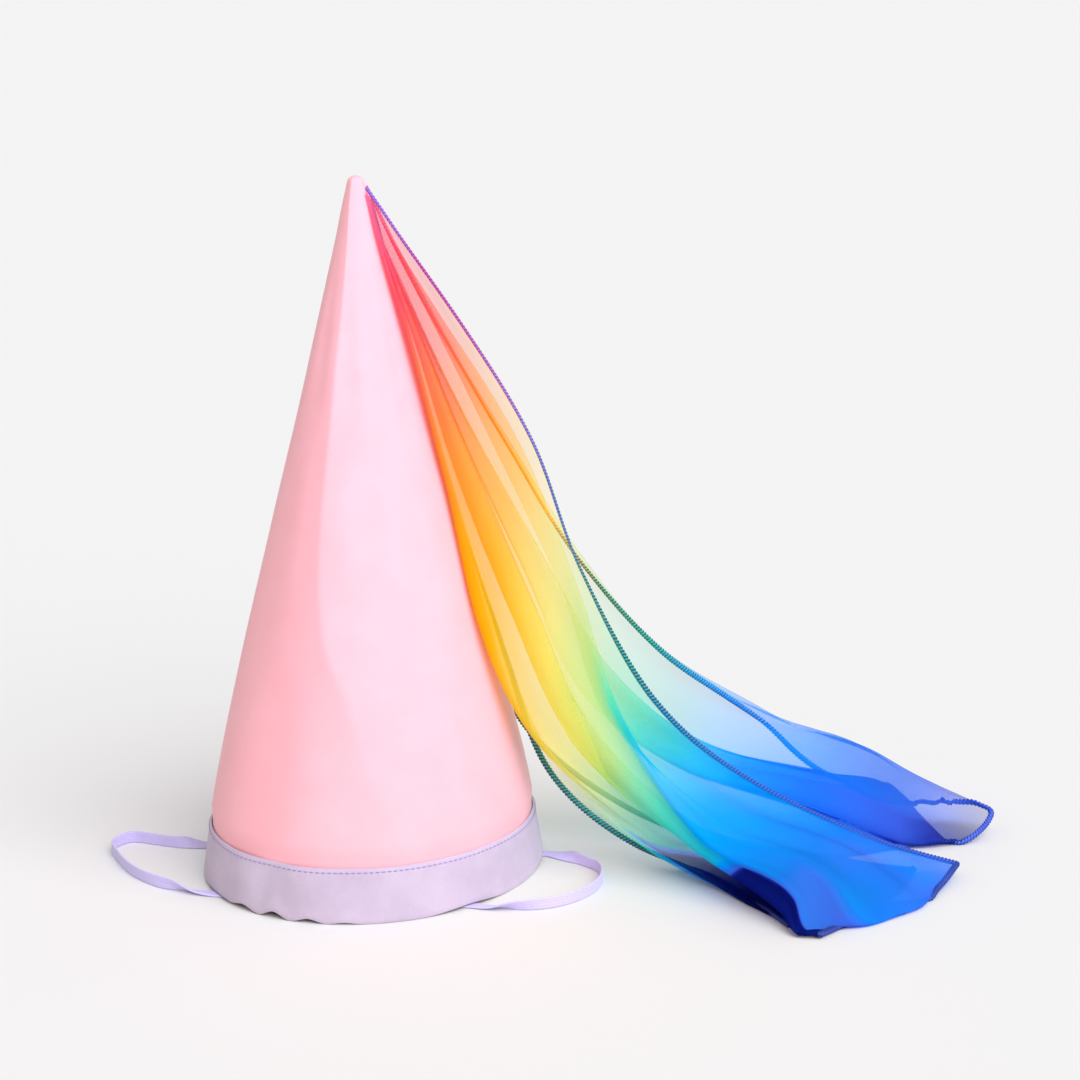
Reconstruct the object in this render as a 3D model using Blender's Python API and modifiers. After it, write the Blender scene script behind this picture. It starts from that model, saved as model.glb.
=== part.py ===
# Princess hat: a fabric cone with a bound hem, an elastic chin strap and a two-tailed sheer veil.
# Metres, +Z up. The hat stands on the plane z = 0, its front toward -Y, and the veil trails off
# to +X. Everything is drawn around the middle of the opening, and centred on the origin at the end.

import bmesh
import bpy
import numpy as np
from collections import namedtuple
from mathutils import Matrix, Vector

# Cone and band
HAT_HEIGHT = 0.339
OPENING_HALF_LENGTH = 0.087        # outer half axes of the oval opening, at the floor
OPENING_HALF_WIDTH = 0.0777
OPENING_TURN = 42.0         # degrees from +X to the long half axis
TIP_RADIUS = 0.0034
TIP_OFFSET = (-0.0040, 0.0)       # how far the tip stands from the middle of the opening
CLOTH_WALL = 0.0015
BAND_WALL = 0.0012
BAND_HEIGHT = 0.0265
GAP = 0.0003                # between pieces that touch on the real hat
CREASE_TURN = -113.0        # degrees from +X: the fold that runs down the front
CREASE_SPREAD = 26.0        # degrees to either side of it
CREASE_RISE = 0.0022        # how far that fold stands out, at the opening
ROUND_BELOW = 0.25          # share of the opening's size below which the cone is quite round

# Veil
VEIL_WALL = 0.0010
SEWN_SHARE = 0.987          # of the cone's height, where the veil is sewn in
VEIL_REACH = 0.210          # from the foot of the cone to the end of the near tail's outer hem
FLOOR_CLEARANCE = 0.0001

# Chin strap
ELASTIC_WIDTH = 0.0060
ELASTIC_THICKNESS = 0.0010
STRAP_POINTS = 78

# The cone's profile from the opening up: height and radius, as shares of the hat's height and
# of the opening, and the share of the front fold that shows there.
Ring = namedtuple("Ring", "height radius fold")
CONE_RINGS = (
    Ring(0.00, 1.000, 0.0),
    Ring(0.06, 0.963, 0.0),
    Ring(0.12, 0.922, 0.3),
    Ring(0.20, 0.854, 1.0),
    Ring(0.30, 0.758, 1.0),
    Ring(0.42, 0.634, 0.7),
    Ring(0.54, 0.505, 0.9),
    Ring(0.66, 0.376, 0.9),
    Ring(0.77, 0.262, 0.6),
    Ring(0.86, 0.165, 0.4),
    Ring(0.92, 0.103, 0.2),
    Ring(0.96, 0.070, 0.0),
    Ring(0.99, 0.046, 0.0),
)

# Each row is one line that runs down the cloth from where it is sewn in: its two hems and the
# folds between them. The columns hold one value for each share of the cloth's length in
# DOWN_THE_CLOTH. heading is in degrees round the cone, negative toward the front; reach is the
# way out from the cone's surface as a share of VEIL_REACH; height is a share of the sewing
# point's height.
DOWN_THE_CLOTH = (0.0, 0.15, 0.30, 0.45, 0.60, 0.75, 0.90, 1.0)
FoldLine = namedtuple("FoldLine", "name heading reach height")
NEAR_PANEL = (
    FoldLine(
        "inner hem",
        heading=(-76, -36, -30, -31, -18, -11, -7, -6),
        reach=(0.0, 0.00, 0.00, 0.003, 0.015, 0.14, 0.295, 0.35),
        height=(0.965, 0.80, 0.60, 0.405, 0.24, 0.085, 0.012, 0.0),
    ),
    FoldLine(
        "left fold",
        heading=(-65, -27, -20, -22, -18, -12, -17, -22),
        reach=(0.0, 0.015, 0.020, 0.018, 0.075, 0.20, 0.49, 0.67),
        height=(0.970, 0.80, 0.60, 0.395, 0.215, 0.070, 0.008, 0.0),
    ),
    FoldLine(
        "front fold",
        heading=(-32, -8, -8, -9, -12, -18, -23, -21),
        reach=(0.0, 0.090, 0.192, 0.235, 0.28, 0.45, 0.71, 0.79),
        height=(0.988, 0.815, 0.635, 0.43, 0.24, 0.098, 0.032, 0.018),
    ),
    FoldLine(
        "fold behind it",
        heading=(-21, -5, -5, -6, -7, -11, -17, -11),
        reach=(0.0, 0.110, 0.206, 0.222, 0.24, 0.47, 0.78, 0.88),
        height=(0.994, 0.812, 0.636, 0.425, 0.235, 0.115, 0.044, 0.025),
    ),
    FoldLine(
        "outer hem",
        heading=(-10, -2, -2, -2, -2, 2, 1, -1),
        reach=(0.0, 0.130, 0.222, 0.25, 0.345, 0.53, 0.82, 0.98),
        height=(1.000, 0.81, 0.64, 0.45, 0.255, 0.122, 0.034, 0.014),
    ),
)
FAR_PANEL = (
    FoldLine(
        "inner hem",
        heading=(74, 24, 18, 18, 17, 12, 4, 4),
        reach=(0.0, 0.004, 0.010, 0.012, 0.035, 0.19, 0.45, 0.66),
        height=(0.966, 0.80, 0.61, 0.41, 0.19, 0.07, 0.0, 0.0),
    ),
    FoldLine(
        "middle fold",
        heading=(53, 19, 14, 13, 12, 10, 8, 5),
        reach=(0.0, 0.020, 0.060, 0.11, 0.17, 0.37, 0.66, 0.94),
        height=(0.974, 0.80, 0.605, 0.425, 0.235, 0.115, 0.038, 0.012),
    ),
    FoldLine(
        "back fold",
        heading=(32, 14, 14, 17, 21, 23, 16, 8),
        reach=(0.0, 0.060, 0.145, 0.235, 0.365, 0.62, 0.87, 1.08),
        height=(0.990, 0.80, 0.615, 0.435, 0.27, 0.148, 0.082, 0.026),
    ),
    FoldLine(
        "outer hem",
        heading=(10, 9, 10, 12, 16, 19, 14, 9),
        reach=(0.0, 0.072, 0.165, 0.255, 0.395, 0.61, 0.77, 0.93),
        height=(1.000, 0.81, 0.615, 0.44, 0.285, 0.170, 0.106, 0.056),
    ),
)

# The chin strap's route, from its seam inside the band on the left, out under the hem in a
# loop, across the opening and out on the right. lift is its lower edge's height off the floor;
# turn is 90 where the elastic stands on edge and 0 where it lies flat.
StrapPoint = namedtuple("StrapPoint", "x y lift turn")
STRAP_ROUTE = (
    StrapPoint(-0.0755, -0.0200, 0.0040, 90),
    StrapPoint(-0.0757, -0.0110, 0.0020, 80),
    StrapPoint(-0.0735, 0.0020, 0.0000, 45),
    StrapPoint(-0.0735, 0.0120, 0.0000, 0),
    StrapPoint(-0.0800, 0.0170, 0.0000, 0),
    StrapPoint(-0.0885, 0.0175, 0.0000, 20),
    StrapPoint(-0.0990, 0.0165, 0.0000, 85),
    StrapPoint(-0.1110, 0.0205, 0.0000, 90),
    StrapPoint(-0.1230, 0.0235, 0.0000, 90),
    StrapPoint(-0.1300, 0.0150, 0.0000, 90),
    StrapPoint(-0.1250, -0.0050, 0.0000, 90),
    StrapPoint(-0.1120, -0.0265, 0.0000, 90),
    StrapPoint(-0.0970, -0.0385, 0.0000, 85),
    StrapPoint(-0.0850, -0.0430, 0.0000, 20),
    StrapPoint(-0.0750, -0.0450, 0.0000, 0),
    StrapPoint(-0.0600, -0.0460, 0.0000, 0),
    StrapPoint(-0.0150, -0.0490, 0.0000, 0),
    StrapPoint(0.0250, -0.0540, 0.0000, 0),
    StrapPoint(0.0480, -0.0590, 0.0000, 0),
    StrapPoint(0.0580, -0.0620, 0.0000, 10),
    StrapPoint(0.0700, -0.0645, 0.0000, 65),
    StrapPoint(0.0850, -0.0620, 0.0000, 90),
    StrapPoint(0.0990, -0.0530, 0.0000, 90),
    StrapPoint(0.1105, -0.0330, 0.0000, 90),
    StrapPoint(0.1095, -0.0160, 0.0000, 90),
    StrapPoint(0.1010, -0.0065, 0.0000, 88),
    StrapPoint(0.0920, 0.0020, 0.0000, 25),
    StrapPoint(0.0830, 0.0075, 0.0000, 0),
    StrapPoint(0.0765, 0.0050, 0.0000, 15),
    StrapPoint(0.0740, -0.0060, 0.0005, 70),
    StrapPoint(0.0722, -0.0170, 0.0040, 90),
)

# Places along the hem that stand off the floor: where the elastic passes under it, and the
# soft waves at its front. turn and spread, to either side, are in degrees; rise is a share of
# BAND_HEIGHT.
Lift = namedtuple("Lift", "name turn rise spread")
HEM_LIFTS = (
    Lift("elastic, back left", 168.0, 0.066, 18.0),
    Lift("elastic, front left", 211.0, 0.066, 20.0),
    Lift("elastic, front right", 309.0, 0.066, 20.0),
    Lift("elastic, back right", 5.0, 0.066, 18.0),
    Lift("wave, front left", 238.0, 0.050, 18.0),
)

CROWN_SIDES = 56
BAND_SIDES = 96
BAND_RINGS = (0.0, 0.06, 0.50, 1.0)     # shares of BAND_HEIGHT, straight up at the hem
CROWN_FOOT = 0.16                       # share of BAND_HEIGHT at which the cone's cloth starts
CROWN_TUCK = 0.30                       # and how far above the band it stays tucked in
STEPS_ACROSS = 3                        # mesh strips between two fold lines
STEPS_DOWN = 27


def ease(share):
    share = np.clip(share, 0.0, 1.0)
    return share * share * (3 - 2 * share)


def smooth(knots, values, at):
    """Values at the given places on a smooth curve through the knots."""
    knots, values, at = (np.asarray(a, float) for a in (knots, values, at))
    slopes = np.gradient(values, knots, axis=0)
    cell = np.clip(np.searchsorted(knots, at, side="right") - 1, 0, len(knots) - 2)
    width = knots[cell + 1] - knots[cell]
    t = (at - knots[cell]) / width
    return (
        (2 * t**3 - 3 * t**2 + 1) * values[cell]
        + (t**3 - 2 * t**2 + t) * width * slopes[cell]
        + (3 * t**2 - 2 * t**3) * values[cell + 1]
        + (t**3 - t**2) * width * slopes[cell + 1]
    )


def opening_radius(turn):
    """The oval opening's outer radius, for an angle in degrees from +X."""
    angle = np.radians(turn - OPENING_TURN)
    long_part, short_part = OPENING_HALF_WIDTH * np.cos(angle), OPENING_HALF_LENGTH * np.sin(angle)
    return OPENING_HALF_LENGTH * OPENING_HALF_WIDTH / np.hypot(long_part, short_part)


def bump(turn, middle, spread):
    """1 at the middle angle, falling softly to 0 at the spread on either side."""
    away = np.abs((turn - middle + 180.0) % 360.0 - 180.0)
    return ease(1.0 - away / spread)


def hat_radius(turn, z):
    """The hat's outer radius at an angle and a height."""
    heights = [ring.height for ring in CONE_RINGS]
    share = np.clip(z / HAT_HEIGHT, 0.0, heights[-1])
    radius = smooth(heights, [ring.radius for ring in CONE_RINGS], share)
    fold = smooth(heights, [ring.fold for ring in CONE_RINGS], share)
    crease = bump(turn, CREASE_TURN, CREASE_SPREAD) * CREASE_RISE * fold * np.sqrt(radius)
    even = 0.5 * (OPENING_HALF_LENGTH + OPENING_HALF_WIDTH)
    oval = even + (opening_radius(turn) - even) * ease(radius / ROUND_BELOW)
    return np.maximum(oval * radius, TIP_RADIUS) + crease


def on_hat(turn, z, out):
    """A point at an angle and a height, this far out from the hat's surface."""
    radius = hat_radius(turn, z) + out
    lean = z / HAT_HEIGHT
    return (
        TIP_OFFSET[0] * lean + radius * np.cos(np.radians(turn)),
        TIP_OFFSET[1] * lean + radius * np.sin(np.radians(turn)),
        z,
    )


def material(name, colour, roughness, metallic=0.0):
    made = bpy.data.materials.new(name)
    made.use_nodes = True
    shader = made.node_tree.nodes["Principled BSDF"]
    shader.inputs["Base Color"].default_value = (*colour, 1.0)
    shader.inputs["Roughness"].default_value = roughness
    shader.inputs["Metallic"].default_value = metallic
    made.diffuse_color = (*colour, 1.0)
    return made


def place(name, data, finish, collection):
    made = bpy.data.objects.new(name, data)
    data.materials.append(finish)
    collection.objects.link(made)
    return made


def loft(name, rows, closed, pole=None):
    """A mesh over rows of points. closed joins each row's ends; pole closes the last row."""
    shape = bmesh.new()
    grid = [[shape.verts.new(point) for point in row] for row in rows]
    across = len(rows[0])
    for below, above in zip(grid, grid[1:]):
        for i in range(across if closed else across - 1):
            j = (i + 1) % across
            shape.faces.new((below[i], below[j], above[j], above[i]))
    if pole is not None:
        top = shape.verts.new(pole)
        for i in range(across):
            shape.faces.new((grid[-1][i], grid[-1][(i + 1) % across], top))
    for face in shape.faces:
        face.smooth = True
    mesh = bpy.data.meshes.new(name)
    shape.to_mesh(mesh)
    shape.free()
    return mesh


def thicken(made, wall, offset):
    """Solidify to a wall: offset -1 grows it inward, 0 to both sides."""
    shell = made.modifiers.new("cloth", "SOLIDIFY")
    shell.thickness = wall
    shell.offset = offset
    shell.use_even_offset = offset != 0


def make_crown(collection):
    """The cone, tucked inside the band at its foot."""
    turns = np.arange(CROWN_SIDES) * 360.0 / CROWN_SIDES
    foot = CROWN_FOOT * BAND_HEIGHT
    full = BAND_HEIGHT * (1.0 + CROWN_TUCK)
    heights = [foot, BAND_HEIGHT, full]
    heights += [z for z in (ring.height * HAT_HEIGHT for ring in CONE_RINGS) if z > full]
    rows = []
    for z in heights:
        tucked = (BAND_WALL + GAP) * ease((full - z) / (full - BAND_HEIGHT))
        rows.append([on_hat(turn, z, -tucked) for turn in turns])
    mesh = loft("cone_crown", rows, closed=True, pole=(*TIP_OFFSET, HAT_HEIGHT))
    made = place("cone_crown", mesh, material("pink_cotton", (0.95, 0.60, 0.68), 0.85), collection)
    thicken(made, CLOTH_WALL, -1)


def make_band(collection):
    """The band round the opening; its hem is flat on the floor but for a few lifts."""
    turns = np.arange(BAND_SIDES) * 360.0 / BAND_SIDES
    rise = sum(lift.rise * bump(turns, lift.turn, lift.spread) for lift in HEM_LIFTS)
    rows = []
    for share in BAND_RINGS:
        above_hem = share + rise * (1.0 - share)
        straight = max(share, BAND_RINGS[1])
        flare = [on_hat(turn, straight * BAND_HEIGHT, 0.0) for turn in turns]
        rows.append([(x, y, up * BAND_HEIGHT) for (x, y, _), up in zip(flare, above_hem)])
    mesh = loft("hem_band", rows, closed=True)
    made = place("hem_band", mesh, material("lavender_cotton", (0.66, 0.57, 0.78), 0.85), collection)
    thicken(made, BAND_WALL, -1)


def make_veil(name, lines, colour, collection):
    """One tail of the veil: a sheet that runs through its hems and folds."""
    down = np.linspace(0.0, 1.0, STEPS_DOWN + 1)
    across = np.linspace(0.0, len(lines) - 1, STEPS_ACROSS * (len(lines) - 1) + 1)
    numbers = np.arange(len(lines))
    columns = []
    for column in ("heading", "reach", "height"):
        along = [smooth(DOWN_THE_CLOTH, getattr(line, column), down) for line in lines]
        columns.append(np.array([smooth(numbers, row, across) for row in zip(*along)]))
    heading, reach, height = columns
    rest = VEIL_WALL / 2 + FLOOR_CLEARANCE
    z = rest + np.maximum(height, 0.0) * (SEWN_SHARE * HAT_HEIGHT - rest)
    out = VEIL_WALL / 2 + GAP + np.maximum(reach, 0.0) * VEIL_REACH
    x, y, z = on_hat(heading, z, out)
    rows = [list(zip(x[i], y[i], z[i])) for i in range(STEPS_DOWN + 1)]
    made = place(name, loft(name, rows, closed=False), material(name + "_chiffon", colour, 0.6), collection)
    thicken(made, VEIL_WALL, 0)


def make_strap(collection):
    """The flat elastic: a ribbon along a smooth curve through its route."""
    route = np.array(STRAP_ROUTE)
    steps = np.linalg.norm(np.diff(route[:, :2], axis=0), axis=1)
    knots = np.concatenate([[0.0], np.cumsum(steps)])
    at = np.linspace(0.0, knots[-1], STRAP_POINTS)
    x, y, lift, turn = (smooth(knots, column, at) for column in route.T)
    half_width = (ELASTIC_WIDTH - ELASTIC_THICKNESS) / 2
    tall = ELASTIC_THICKNESS / 2 + half_width * np.abs(np.sin(np.radians(turn)))
    z = FLOOR_CLEARANCE + np.maximum(lift, 0.0) + tall
    ribbon = bpy.data.curves.new("chin_strap", "CURVE")
    ribbon.dimensions = "3D"
    ribbon.twist_mode = "Z_UP"
    ribbon.extrude = half_width
    ribbon.bevel_depth = ELASTIC_THICKNESS / 2
    ribbon.bevel_resolution = 1
    ribbon.use_fill_caps = True
    spline = ribbon.splines.new("POLY")
    spline.points.add(STRAP_POINTS - 1)
    for i, point in enumerate(spline.points):
        point.co = (x[i], y[i], z[i], 1.0)
        point.tilt = np.radians(90.0 - turn[i])
    place("chin_strap", ribbon, material("lavender_elastic", (0.62, 0.54, 0.78), 0.7), collection)


def centre(collection):
    """Moves the hat so that the origin is under the middle of its box, the loose strap aside."""
    bpy.context.view_layer.update()
    seen = bpy.context.evaluated_depsgraph_get()
    fixed = [made for made in collection.objects if made.name != "chin_strap"]
    corners = np.array([corner for made in fixed for corner in made.evaluated_get(seen).bound_box])
    middle = (corners.min(axis=0) + corners.max(axis=0)) / 2
    for made in collection.objects:
        made.data.transform(Matrix.Translation(Vector((-middle[0], -middle[1], 0.0))))


def main():
    for old in list(bpy.data.objects):
        bpy.data.objects.remove(old)
    collection = bpy.data.collections.new("princess_hat")
    bpy.context.scene.collection.children.link(collection)
    make_crown(collection)
    make_band(collection)
    make_strap(collection)
    make_veil("veil_near_panel", NEAR_PANEL, (0.10, 0.62, 0.75), collection)
    make_veil("veil_far_panel", FAR_PANEL, (0.15, 0.30, 0.80), collection)
    centre(collection)


main()
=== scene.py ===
# %% [markdown]
# # A princess hat, dressed in Blender
#
# The hat is a tall cone of pale pink cotton with a lavender band bound round its hem. A flat
# elastic chin strap loops out from under the hem on both sides. Two tails of sheer, rainbow-dyed
# chiffon are sewn in at the tip, fall down one side and trail on the table.
#
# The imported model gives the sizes. Every piece here is drawn around the middle of the hat's
# opening, in metres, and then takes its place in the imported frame.

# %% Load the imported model
import math
from collections import namedtuple

import bpy
import numpy as np
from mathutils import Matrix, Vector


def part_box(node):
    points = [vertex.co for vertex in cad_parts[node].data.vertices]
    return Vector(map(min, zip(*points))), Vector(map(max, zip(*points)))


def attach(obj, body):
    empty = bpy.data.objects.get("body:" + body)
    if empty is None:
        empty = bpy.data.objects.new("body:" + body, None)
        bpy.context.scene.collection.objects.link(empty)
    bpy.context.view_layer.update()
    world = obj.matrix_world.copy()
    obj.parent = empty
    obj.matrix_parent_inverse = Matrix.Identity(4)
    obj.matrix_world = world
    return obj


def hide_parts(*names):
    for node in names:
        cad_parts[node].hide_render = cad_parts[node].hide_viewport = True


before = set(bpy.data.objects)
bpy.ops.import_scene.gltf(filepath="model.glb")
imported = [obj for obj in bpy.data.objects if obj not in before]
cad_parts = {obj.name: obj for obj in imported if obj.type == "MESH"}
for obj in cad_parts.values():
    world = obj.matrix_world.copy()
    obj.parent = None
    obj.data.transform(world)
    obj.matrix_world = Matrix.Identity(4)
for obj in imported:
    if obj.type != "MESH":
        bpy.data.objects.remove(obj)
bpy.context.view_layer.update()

band_low, band_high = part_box("hem_band")
MIDDLE = np.array([(band_low[0] + band_high[0]) / 2, (band_low[1] + band_high[1]) / 2, 0.0])
print("nodes:", sorted(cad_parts), "opening's middle:", MIDDLE.round(4))

# %% [markdown]
# ## The camera
#
# The photograph looks slightly down at the hat from about a metre and a half away, with a long
# lens, so the cone's sides stay nearly straight. The camera is set level in roll and only
# pitched, which keeps the hat upright in the frame.

# %% Camera
CAMERA_PLACE = (0.0813, -1.4014, 0.5577)        # from the middle of the opening
CAMERA_PITCH = 15.7                             # degrees below level

camera = bpy.data.objects.new("camera", bpy.data.cameras.new("camera"))
bpy.context.scene.collection.objects.link(camera)
camera.data.sensor_width = 36.0
camera.data.lens = 101.5
camera.data.clip_end = 60.0
camera.location = MIDDLE + CAMERA_PLACE
camera.rotation_euler = (math.radians(90.0 - CAMERA_PITCH), 0.0, 0.0)
bpy.context.scene.camera = camera
print("camera at", [round(value, 3) for value in camera.location])

# %% [markdown]
# ## Small tools for shapes
#
# Cloth is easiest to draw as a grid of points, with a second grid that says where each point was
# on the flat cloth. That second grid becomes the UV map, in metres, so that a thread or a rib in
# a material can be given its real size. Shapes follow smooth curves through a few chosen values.

# %% Curves through chosen values
def ease(share):
    """0 to 1 with a soft start and a soft end."""
    share = np.clip(share, 0.0, 1.0)
    return share * share * (3 - 2 * share)


def smooth(knots, values, at):
    """Values at the given places on a smooth curve through the knots."""
    knots, values, at = (np.asarray(a, float) for a in (knots, values, at))
    slopes = np.gradient(values, knots, axis=0)
    cell = np.clip(np.searchsorted(knots, at, side="right") - 1, 0, len(knots) - 2)
    width = knots[cell + 1] - knots[cell]
    t = (at - knots[cell]) / width
    return (
        (2 * t**3 - 3 * t**2 + 1) * values[cell]
        + (t**3 - 2 * t**2 + t) * width * slopes[cell]
        + (3 * t**2 - 2 * t**3) * values[cell + 1]
        + (t**3 - t**2) * width * slopes[cell + 1]
    )


def unit(vectors):
    """The same directions, each one long."""
    return vectors / np.maximum(np.linalg.norm(vectors, axis=-1, keepdims=True), 1e-12)


def distances(points):
    """How far along a line of points each of them is, in metres."""
    return np.concatenate([[0.0], np.cumsum(np.linalg.norm(np.diff(points, axis=0), axis=1))])


# %% A mesh over a grid
def grid_mesh(name, points, flat, closed=False):
    """A mesh over rows of points. flat gives each point's place on the flat cloth, in metres.
    closed joins the ends of each row, and flat then has one more column than points."""
    rows, columns = points.shape[:2]
    i, j = np.meshgrid(
        np.arange(rows - 1), np.arange(columns if closed else columns - 1), indexing="ij"
    )
    k = (j + 1) % columns
    faces = np.stack(
        [i * columns + j, i * columns + k, (i + 1) * columns + k, (i + 1) * columns + j], axis=-1
    )
    corners = np.stack([flat[i, j], flat[i, j + 1], flat[i + 1, j + 1], flat[i + 1, j]], axis=-2)
    mesh = bpy.data.meshes.new(name)
    mesh.from_pydata((points + MIDDLE).reshape(-1, 3).tolist(), [], faces.reshape(-1, 4).tolist())
    cloth_map = mesh.uv_layers.new(name="cloth")
    cloth_map.data.foreach_set("uv", corners.ravel())
    mesh.shade_smooth()
    return mesh


def per_point(mesh, name, values):
    """Keeps one number per point on the mesh, for its material to read."""
    layer = mesh.attributes.new(name, "FLOAT", "POINT")
    layer.data.foreach_set("value", np.asarray(values, float).ravel())


def place(name, data, material):
    """An object for this mesh or curve, with its material, that rides on the hat."""
    made = bpy.data.objects.new(name, data)
    data.materials.append(material)
    bpy.context.scene.collection.objects.link(made)
    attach(made, "root")
    return made


# %% [markdown]
# ## Small tools for materials
#
# Colours are picked as sRGB hex values, the way a paint program shows them, and turned into the
# linear values that shaders use. One function adds a node, fills its sockets and links it, and
# the others build on it.

# %% Colours and nodes
def linear(hex_colour):
    """An sRGB hex colour as linear red, green, blue and alpha."""
    channels = [int(hex_colour[i:i + 2], 16) / 255 for i in (1, 3, 5)]
    return tuple(c / 12.92 if c <= 0.04045 else ((c + 0.055) / 1.055) ** 2.4 for c in channels) + (1.0,)


def add(tree, kind, values=None, links=None, **settings):
    """Adds one node: settings on the node, values in its sockets, links from other outputs."""
    made = tree.nodes.new("ShaderNode" + kind)
    for name, value in settings.items():
        setattr(made, name, value)
    for socket, value in (values or {}).items():
        made.inputs[socket].default_value = value
    for socket, source in (links or {}).items():
        tree.links.new(source, made.inputs[socket])
    return made


def maths(tree, operation, *terms, clamp=False):
    """One operation on numbers and other nodes' outputs."""
    made = add(tree, "Math", operation=operation, use_clamp=clamp)
    for socket, term in zip(made.inputs, terms):
        if isinstance(term, float):
            socket.default_value = term
        else:
            tree.links.new(term, socket)
    return made.outputs[0]


def wave(tree, distance, millimetres):
    """A ripple from -1 to 1 that comes again after this many millimetres."""
    return maths(tree, "SINE", maths(tree, "MULTIPLY", distance, 2 * math.pi / (millimetres / 1000)))


def new_material(name):
    """An empty material, its node tree and its output node."""
    made = bpy.data.materials.new(name)
    made.use_nodes = True
    made.node_tree.nodes.clear()
    return made, made.node_tree, add(made.node_tree, "OutputMaterial")


def principled(tree, output, values, links=None):
    """Gives the material a principled surface."""
    shader = add(tree, "BsdfPrincipled", values, links)
    tree.links.new(shader.outputs["BSDF"], output.inputs["Surface"])


def ramp(tree, stops, factor):
    """A colour ramp through (place, hex colour) stops."""
    made = add(tree, "ValToRGB", links={"Fac": factor})
    row = made.color_ramp.elements
    while len(row) < len(stops):
        row.new(1.0)
    for element, (place_on_ramp, hex_colour) in zip(row, stops):
        element.position = place_on_ramp
        element.color = linear(hex_colour)
    return made.outputs["Color"]


# %% [markdown]
# ## The chin strap
#
# The strap is braided elastic, 6 mm wide and 1 mm thick, with ribs along it. It is sewn in at
# both sides of the band, lies flat where the hem presses on it and stands on edge where it loops
# out. A bevelled curve would stay smooth, so the ribs are drawn in its section and swept along
# the route.

# %% Strap route
ELASTIC_WIDTH = 0.0060
ELASTIC_THICKNESS = 0.0010
CLEARANCE = 0.0001              # between the strap and the table
STRAP_STEPS = 560

# x and y are from the middle of the opening, lift is the lower edge's height, and turn is 90 where
# the strap stands on edge and 0 where it lies flat
StrapPoint = namedtuple("StrapPoint", "x y lift turn")
STRAP_ROUTE = (
    StrapPoint(-0.0755, -0.0200, 0.0040, 90),
    StrapPoint(-0.0757, -0.0110, 0.0020, 80),
    StrapPoint(-0.0735, 0.0020, 0.0000, 45),
    StrapPoint(-0.0735, 0.0120, 0.0000, 0),
    StrapPoint(-0.0800, 0.0170, 0.0000, 0),
    StrapPoint(-0.0885, 0.0175, 0.0000, 20),
    StrapPoint(-0.0990, 0.0165, 0.0000, 85),
    StrapPoint(-0.1110, 0.0205, 0.0000, 90),
    StrapPoint(-0.1230, 0.0235, 0.0000, 90),
    StrapPoint(-0.1300, 0.0150, 0.0000, 90),
    StrapPoint(-0.1250, -0.0050, 0.0000, 90),
    StrapPoint(-0.1120, -0.0265, 0.0000, 90),
    StrapPoint(-0.0970, -0.0385, 0.0000, 85),
    StrapPoint(-0.0850, -0.0430, 0.0000, 20),
    StrapPoint(-0.0750, -0.0450, 0.0000, 0),
    StrapPoint(-0.0600, -0.0460, 0.0000, 0),
    StrapPoint(-0.0150, -0.0490, 0.0000, 0),
    StrapPoint(0.0250, -0.0540, 0.0000, 0),
    StrapPoint(0.0480, -0.0590, 0.0000, 0),
    StrapPoint(0.0580, -0.0620, 0.0000, 10),
    StrapPoint(0.0700, -0.0645, 0.0000, 65),
    StrapPoint(0.0850, -0.0620, 0.0000, 90),
    StrapPoint(0.0990, -0.0530, 0.0000, 90),
    StrapPoint(0.1105, -0.0330, 0.0000, 90),
    StrapPoint(0.1095, -0.0160, 0.0000, 90),
    StrapPoint(0.1010, -0.0065, 0.0000, 88),
    StrapPoint(0.0920, 0.0020, 0.0000, 25),
    StrapPoint(0.0830, 0.0075, 0.0000, 0),
    StrapPoint(0.0765, 0.0050, 0.0000, 15),
    StrapPoint(0.0740, -0.0060, 0.0005, 70),
    StrapPoint(0.0722, -0.0170, 0.0040, 90),
)

route = np.array(STRAP_ROUTE)
knots = distances(route[:, :2])
along = np.linspace(0.0, knots[-1], STRAP_STEPS)
x, y, lift, turn = (smooth(knots, column, along) for column in route.T)
on_edge = np.abs(np.sin(np.radians(turn)))
half_height = ELASTIC_THICKNESS / 2 + (ELASTIC_WIDTH - ELASTIC_THICKNESS) / 2 * on_edge
strap_line = np.stack([x, y, CLEARANCE + np.maximum(lift, 0.0) + half_height], axis=1)
print("strap length:", round(float(distances(strap_line)[-1]), 3), "m")

# %% Strap section with its ribs
RIBS = 4
RIB_DEPTH = 0.16                # of the elastic's thickness
SECTION_STEPS = 25              # across one face of the strap
EDGE_POWER = 8                  # the higher, the squarer the strap's two edges
CLOSING_SIDE = 0.0005           # about the last side of the section, back to its first point

side = np.linspace(-1.0, 1.0, SECTION_STEPS)
swell = 1.0 - RIB_DEPTH * (0.5 + 0.5 * np.cos(np.pi * RIBS * (side + 1.0)))
swell = swell * np.sqrt(1.0 - side**EDGE_POWER)
section = np.concatenate(
    [
        np.stack([side, swell], axis=1),
        np.stack([side[::-1], -swell[::-1]], axis=1)[1:-1],
    ]
)
section *= (ELASTIC_WIDTH / 2, ELASTIC_THICKNESS / 2)

forward = unit(np.gradient(strap_line, axis=0))
level = unit(np.cross(forward, (0.0, 0.0, 1.0)))
upward = np.cross(level, forward)
lean = np.radians(turn)[:, None]
wide = level * np.cos(lean) + upward * np.sin(lean)
thin = -level * np.sin(lean) + upward * np.cos(lean)
strap_points = (
    strap_line[:, None, :]
    + wide[:, None, :] * section[None, :, :1]
    + thin[:, None, :] * section[None, :, 1:]
)
around = distances(section)
around = np.append(around, around[-1] + CLOSING_SIDE)
strap_flat = np.stack(np.broadcast_arrays(around[None, :], along[:, None]), axis=-1)

# %% [markdown]
# Braided elastic is fine lavender polyester plaited over rubber threads. The plait makes tiny
# chevrons along each rib, so the finish has a short ripple along the strap.

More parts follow.
